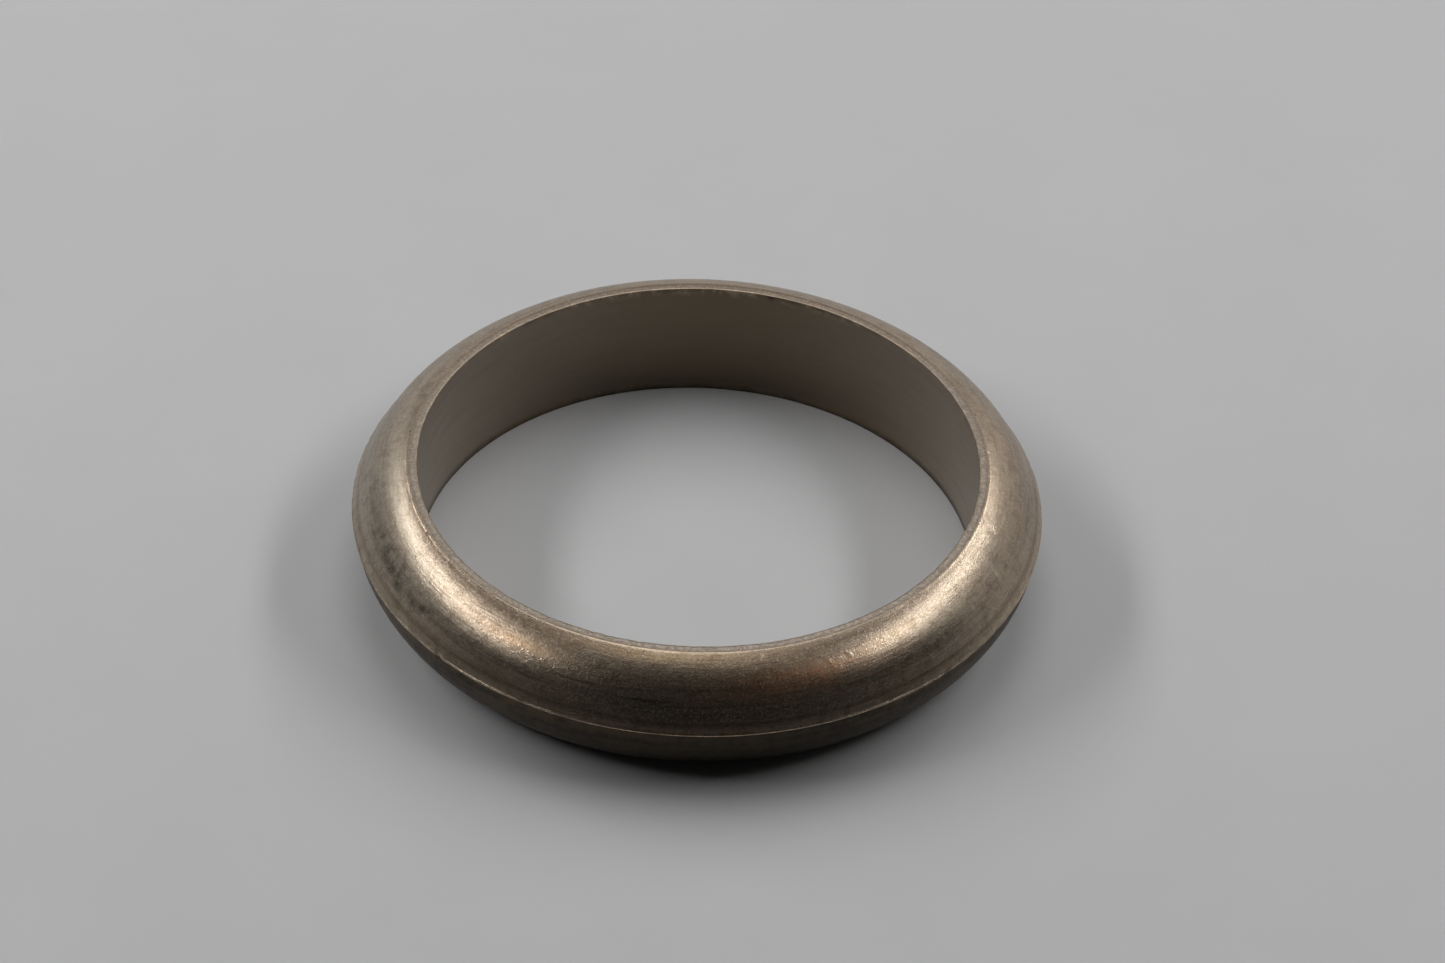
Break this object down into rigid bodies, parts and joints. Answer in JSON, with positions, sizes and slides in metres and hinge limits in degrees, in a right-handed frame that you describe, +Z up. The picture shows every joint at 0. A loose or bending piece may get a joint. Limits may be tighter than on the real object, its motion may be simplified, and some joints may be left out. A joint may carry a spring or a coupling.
{
  "type": "metal sealing ring",
  "caption": "Solid bronze-brown metal ring with a plain bore, a domed upper face, a sloping lower face and a thin sharp rim between them; it lies flat.",
  "frame": {"origin": "centre of the bottom land, on the surface that the ring lies on", "axes": "+Z up along the bore axis, towards the domed face; the ring is round, so X and Y are free"},
  "size_m": [0.063, 0.063, 0.012],
  "materials": {
    "ring_metal": "satin bronze-brown with a fine grain, darker stains and bright nicks along the edges"
  },
  "bodies": {
    "root": {"sealing_ring": "ring_metal"}
  },
  "joints": []
}
